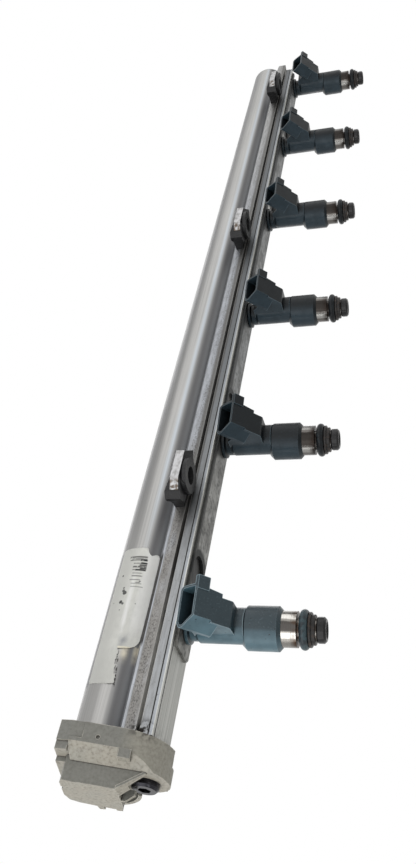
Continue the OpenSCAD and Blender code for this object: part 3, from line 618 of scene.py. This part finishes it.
# patch is a second tone in spots and at the edges, for wear and a painted edge highlight; sizes in mm
mouldedLooks = {
    # rubber rings: blue-black, with a slight shine from the oil on them; the first injector's ring is a
    # lighter copy that is painted light
    "nitrileShadedCopy": {"nodes": ["port_seal"], "base": "#0c1014", "patch": "#20272b", "patchSize": 2.0,
                    "cut": 0.58, "roughness": 0.34, "grain": 0.4, "ior": 1.52, "shine": 0.2},
    "nitrileLitCopy": {"nodes": ["port_seal_1"], "base": "#1f2a30", "patch": "#35464c", "patchSize": 2.0,
                    "cut": 0.5, "roughness": 0.34, "grain": 0.4, "ior": 1.52, "shine": 0.35},
    "nitrileBlack": {"nodes": ["rail_seals", "end_cap_seal", "far_plug_seal"], "base": "#141414",
                     "patch": "#242322", "patchSize": 2.0, "cut": 0.6, "roughness": 0.45, "grain": 0.4,
                     "ior": 1.52, "shine": 0.35},
    # spacers: brown nylon darkened by heat
    "mouldedNylonBrown": {"nodes": ["spacer"], "base": "#171413", "patch": "#372e29", "patchSize": 1.4,
                          "cut": 0.56, "roughness": 0.36, "grain": 0.3, "ior": 1.53, "shine": 0.25},
    # caps on the nozzles: black nylon, glossy from the mould
    "mouldedNylonBlack": {"nodes": ["nozzle_cap"], "base": "#09090b", "patch": "#2c2c2e", "patchSize": 1.5,
                          "cut": 0.66, "roughness": 0.22, "grain": 0.5, "ior": 1.53, "shine": 0.25},
    # lugs: charcoal elastomer, matt, with dust in its grain
    "mouldedElastomer": {"nodes": ["lug_moulding"], "base": "#19191a", "patch": "#2f2f30", "patchSize": 1.4,
                         "cut": 0.6, "roughness": 0.46, "grain": 0.35, "ior": 1.5, "shine": 0.3},
}


# moulded rubber or nylon: satin, spotted, lighter at its edges for wear and a painted edge highlight, with a
# fine grain
def makeMouldedMaterial(name, spec):
    material, tree, shader = newMaterial(name, {"IOR": spec["ior"], "Specular IOR Level": spec["shine"]})
    place = placeOn(tree)[0]
    spots = patchMask(tree, place, spec["patchSize"], spec["cut"], 0.08)
    edges = overlap(tree, edgeWearAndHighlight(tree, 0.3, 0.2, 0.6), 0.5)
    colour = layColours(tree, linearColour(spec["base"]), (either(tree, spots, edges), spec["patch"]))
    grain = addNode(tree, "TexNoise", {"Vector": place, "Scale": perMetre(spec["grain"]),
                                       "Detail": 2.0}).outputs[0]
    finishSurface(tree, shader, colour, spots, (spec["roughness"], spec["roughness"] + 0.15), grain, 0.04,
                  0.25)
    return material


# the first injector's seal comes after the others, as it takes its own look over theirs
for name, look in mouldedLooks.items():
    material = makeMouldedMaterial(name, look)
    for prefix in look["nodes"]:
        dress(prefix, material)

print("lug plates, screw and contacts")

plateLook = {"zinc": "#a9a9aa", "worn": "#8b8a89", "stain": "#5e554d", "roughness": (0.34, 0.5)}


# zinc-plated pressed steel: pale, rubbed, with brown stains where the plating is thin, and painted shade in
# its corners
def makePlateMaterial(spec):
    material, tree, shader = newMaterial("zincPlatedSteel", {"Metallic": 1.0})
    place, _, y, _ = placeOn(tree)
    rubbed = patchMask(tree, place, 1.6, 0.55, 0.12, (1, 0.5, 1))
    # the slanted end of each plate towards the cap is stained; the lugs are two pitches apart
    pitch = section["pitch"]
    fromLug = addNode(tree, "Math", {0: y, 1: pitch, 2: -pitch}, operation="WRAP").outputs[0]
    stain = overlap(tree, bandMask(tree, fromLug, -12, -6.4, 0.8), patchMask(tree, place, 1.8, 0.5, 0.08))
    # painted shade in the corners, in the stains' colour
    corners = overlap(tree, cornerDirtAndShade(tree, 1.5), 0.7)
    colour = layColours(tree, linearColour(spec["zinc"]), (rubbed, spec["worn"]),
                        (either(tree, stain, corners), spec["stain"]))
    finishSurface(tree, shader, colour, rubbed, spec["roughness"], rubbed, 0.05, 0.2)
    return material


dress("lug_plate", makePlateMaterial(plateLook))

skinLooks = {
    # contact blades: pale yellow-grey, rubbed to bright tin
    "tinnedBrass": {"node": "contact_blades", "skin": "#b9ae8a", "worn": "#d8d2bd", "wearSize": 1.2,
                    "roughness": 0.32, "metallic": 1.0},
    # the cap's screw: nearly black, with a tight highlight
    "blackOxideSteel": {"node": "end_cap_screw", "skin": "#2a2a2e", "worn": "#5a5a60", "wearSize": 1.2,
                        "roughness": 0.28, "metallic": 0.9},
}


# metal with a plated or treated skin, rubbed through in spots and at its edges, the lighter edges also a
# painted highlight
def makeSkinMaterial(name, spec):
    material, tree, shader = newMaterial(name, {"Metallic": spec["metallic"]})
    wear = patchMask(tree, placeOn(tree)[0], spec["wearSize"], 0.62, 0.08)
    share = overlap(tree, either(tree, wear, edgeWearAndHighlight(tree, 0.25)), 0.6)
    colour = layColours(tree, linearColour(spec["skin"]), (share, spec["worn"]))
    finishSurface(tree, shader, colour, wear, (spec["roughness"], spec["roughness"] + 0.12), wear, 0.04, 0.2)
    return material


for name, look in skinLooks.items():
    dress(look["node"], makeSkinMaterial(name, look))

print("label")

labelLook = {
    # painted highlights in white and cream; painted shade in edge and dentGrey
    "paper": "#e0e0da", "paintedHighlight": "#ffffff", "grey": "#bebeb9", "edge": "#84857f", "dentGrey": "#8c8e94",
    "print": "#141414", "smudge": "#161617", "cream": "#efe9d4",
    "fibre": 0.6, "wave": 4, "roughness": (0.36, 0.6), "standOff": 0.06, "thickness": 0.09,    # sizes in mm
    "curl": 0.22, "curlReach": 1.4, "cell": 0.8, "tearStep": 0.5, "tooth": 0.34,
    # places are along the rail from the first injector in mm, then round the tube in degrees from its top
    # towards the rib
    "dent": (4, 15, -13.2, -7.5),                                           # degrees, then along
    "bulge": {"along": -10.5, "degrees": 9, "height": 0.12, "reach": 3},    # lifted paper round the dent
    "cutEdge": [(-28.0, -1.2), (-27.9, -13.5), (-27.2, -39.7), (-26.6, -42.0), (-18.0, -43.0), (0.0, -43.5),
                (16.0, -43.0), (25.4, -43.0), (27.5, -42.4), (28.6, -40.9), (28.8, -31.9), (28.6, -20.6),
                (28.5, -0.5), (28.3, 13.1), (26.7, 15.6), (25.5, 19.4), (25.1, 23.0), (25.5, 26.4),
                (26.0, 30.3), (26.0, 35.0), (25.0, 37.6), (22.0, 38.6), (7.6, 38.6), (-7.1, 37.6),
                (-10.3, 36.9), (-11.6, 35.4), (-13.0, 30.7), (-13.9, 23.6), (-14.3, 14.6)],
    "tornEdge": [(-14.5, 4.2), (-15.6, 6.5), (-17.9, 5.7), (-19.8, 5.8), (-21.5, 7.8), (-23.6, 7.5),
                 (-24.9, 10.9), (-26.5, 12.1), (-27.9, 10.6)],
    # plain bars for print: along, degrees, share of ink
    "stripes": [(23.9, 24.5, -19, 16, 0.8), (23.2, 23.5, -14, 16, 0.7), (22.4, 23.1, 4, 17, 1.0),
                (22.6, 22.9, -17, 4, 0.8), (21.0, 21.7, 6, 18, 1.0), (21.1, 21.4, -8, 6, 0.7),
                (20.2, 20.7, 4, 18, 0.9), (19.4, 20.0, -8, 18, 0.85), (18.8, 19.2, 6, 18, 1.0),
                (18.0, 18.6, -2, 18, 1.0), (18.2, 18.5, -8, -2, 0.7), (16.7, 16.95, -6, 14, 0.55),
                (15.4, 15.75, -6, 14, 0.7), (13.75, 14.05, -8, 12, 0.6), (12.6, 12.9, 4, 12, 0.6),
                (12.1, 12.4, -4, 16, 0.45), (10.75, 11.0, -4, 20, 0.5)],
    # smudges: degrees, along, radius, share
    "marks": [(-25.3, 16.1, 0.4, 0.9), (-15.4, 10.4, 0.42, 0.75), (-14.6, 9.2, 0.6, 0.85),
              (-11.2, 8.2, 0.85, 0.9), (-14.4, 4.3, 0.7, 0.95), (-9.8, 3.6, 0.5, 0.85),
              (-12.6, 0.9, 0.3, 0.5), (-31.0, 4.4, 0.3, 0.5), (14.2, 3.7, 0.28, 0.5), (12.0, 13.2, 0.4, 0.7)],
}


# printed paper: off-white, greyer in patches and at its foot, painted shade down its left side, at its left
# edge and over the dent, painted highlights in streaks, on its right side and at its lower edge, and plain
# stripes of print
def makeLabelMaterial(spec):
    material, tree, shader = newMaterial("printedPaper", {"IOR": 1.5})
    place, x, y, z = placeOn(tree)
    angle = tubeAngle(tree, x, z)
    along = addNode(tree, "Math", {0: y, 1: -section["firstInjector"]}, operation="ADD").outputs[0]
    across = addNode(tree, "Math", {0: angle, 1: mmPerDegree}, operation="MULTIPLY").outputs[0]
    cloud = overlap(tree, patchMask(tree, place, 7, 0.5, 0.25), 0.5)
    rubbed = overlap(tree, patchMask(tree, place, 0.9, 0.56, 0.12, (1, 0.4, 1)), 0.3)
    # painted shade down the left side and at the left edge; painted highlights in streaks and on the right
    # side
    leftSide = overlap(tree, pastEdges(tree, angle, (8, -30)), 0.8)
    highlightStreaks = overlap(tree, bandMask(tree, angle, -3, 4, 4), bandMask(tree, along, -8, 14, 5),
                      patchMask(tree, place, 1.6, 0.42, 0.16, (1, 0.12, 1)), 0.6)
    rightSide = overlap(tree, pastEdges(tree, angle, (8, 20)), pastEdges(tree, along, (-14, -2)), 0.4)
    leftEdge = overlap(tree, pastEdges(tree, angle, (-40.5, -43)), 0.85)
    foot = overlap(tree, pastEdges(tree, along, (-12, -20)), 0.4)
    # a painted highlight along the lower edge, and painted shade over the dent
    lowEdge = overlap(tree, bandMask(tree, along, -14.5, -13.6, 0.3), pastEdges(tree, angle, (1, 5)))
    left, right, low, high = spec["dent"]
    dent = overlap(tree, bandMask(tree, angle, left, right, 7),
                   pastEdges(tree, along, (high, low + 1.2), (low - 1, low)),
                   patchMask(tree, place, 2.5, 0.4, 0.3), 0.95)
    colour = layColours(tree, linearColour(spec["paper"]), (cloud, spec["grey"]), (rubbed, spec["grey"]),
                        (leftSide, spec["grey"]), (highlightStreaks, spec["paintedHighlight"]), (rightSide, spec["paintedHighlight"]),
                        (leftEdge, spec["edge"]), (foot, spec["grey"]), (lowEdge, spec["cream"]),
                        (dent, spec["dentGrey"]))
    worn = patchMask(tree, place, 1.1, 0.36, 0.1)
    for low, high, left, right, share in spec["stripes"]:
        ink = overlap(tree, bandMask(tree, along, low - 0.08, high + 0.08, 0.08),
                      bandMask(tree, angle, left, right, 1.0), worn, share)
        colour = layColours(tree, colour, (ink, spec["print"]))
    for turn, at, radius, share in spec["marks"]:
        spot = spotMask(tree, across, along, (turn * mmPerDegree, at), radius, 0.16)
        colour = layColours(tree, colour, (overlap(tree, spot, share), spec["smudge"]))
    fibres = addNode(tree, "TexNoise", {"Vector": place, "Scale": perMetre(spec["fibre"]),
                                        "Detail": 4.0}).outputs[0]
    waves = addNode(tree, "TexNoise", {"Vector": place, "Scale": perMetre(spec["wave"]),
                                       "Detail": 4.0}).outputs[0]
    finishSurface(tree, shader, colour, fibres, spec["roughness"], waves, 0.3, 0.35)
    return material


# small teeth along a torn edge
def tornPoints(edge, step, tooth):
    points = []
    for (alongA, turnA), (alongB, turnB) in zip(edge, edge[1:]):
        count = max(1, round(math.dist((alongA, turnA * mmPerDegree), (alongB, turnB * mmPerDegree)) / step))
        for i in range(count):
            points.append((alongA + (alongB - alongA) * i / count + random.uniform(-tooth, tooth),
                           turnA + (turnB - turnA) * i / count + random.uniform(-tooth, tooth) / mmPerDegree))
    return points


# flat paper in the outline's shape, cut in both directions into cells small enough to bend
def flatPaper(corners, cell):
    form = bmesh.new()
    form.faces.new([form.verts.new(corner) for corner in corners])
    form.normal_update()    # an outline with hollows is cut into wrong triangles without it
    bmesh.ops.triangulate(form, faces=form.faces[:])
    for axis in (0, 1):
        low, high = min(c[axis] for c in corners), max(c[axis] for c in corners)
        for i in range(1, math.ceil((high - low) / cell)):
            cut, across = Vector((0, 0, 0)), Vector((0, 0, 0))
            cut[axis], across[axis] = low + i * cell, 1
            bmesh.ops.bisect_plane(form, geom=form.verts[:] + form.edges[:] + form.faces[:], plane_co=cut,
                                   plane_no=across)
    return form


# how far a point of the flat paper lies from its outline
def edgeGap(point, corners):
    gaps = []
    for a, b in zip(corners, corners[1:] + corners[:1]):
        near, share = geometry.intersect_point_line(point, a, b)
        gaps.append((point - (a if share < 0 else b if share > 1 else near)).length)
    return min(gaps)


# the flat paper is laid round the tube; its edges towards the rib stand off a little
def makeLabel(spec):
    random.seed(7)
    outline = spec["cutEdge"] + tornPoints(spec["tornEdge"], spec["tearStep"], spec["tooth"])
    corners = [Vector((along, turn * mmPerDegree, 0)) for along, turn in outline]
    form = flatPaper(corners, spec["cell"])
    bulge = spec["bulge"]
    for vert in form.verts:
        along, turn = vert.co.x, vert.co.y / mmPerDegree
        curl = (spec["curl"] * max(0.0, 1 - edgeGap(vert.co, corners) / spec["curlReach"]) ** 2
                if turn > 0 else 0.0)
        away = math.hypot(along - bulge["along"], (turn - bulge["degrees"]) * mmPerDegree)
        lift = bulge["height"] * math.exp(-(away / bulge["reach"]) ** 2)
        radius, angle = section["tubeRadius"] + spec["standOff"] + curl + lift, math.radians(turn)
        vert.co = Vector((section["tubeX"] + radius * math.cos(angle), section["firstInjector"] + along,
                          section["tubeZ"] - radius * math.sin(angle))) / 1000
    bmesh.ops.recalc_face_normals(form, faces=form.faces)
    mesh = bpy.data.meshes.new("paperLabel")
    form.to_mesh(mesh)
    form.free()
    mesh.polygons.foreach_set("use_smooth", [True] * len(mesh.polygons))
    mesh.materials.append(makeLabelMaterial(spec))
    label = bpy.data.objects.new("paperLabel", mesh)
    scene.collection.objects.link(label)
    thickness = label.modifiers.new("thickness", "SOLIDIFY")
    thickness.thickness, thickness.offset = spec["thickness"] / 1000, 0.0
    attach(label, "root")


makeLabel(labelLook)

scene.view_settings.view_transform = "Standard"
print("done")
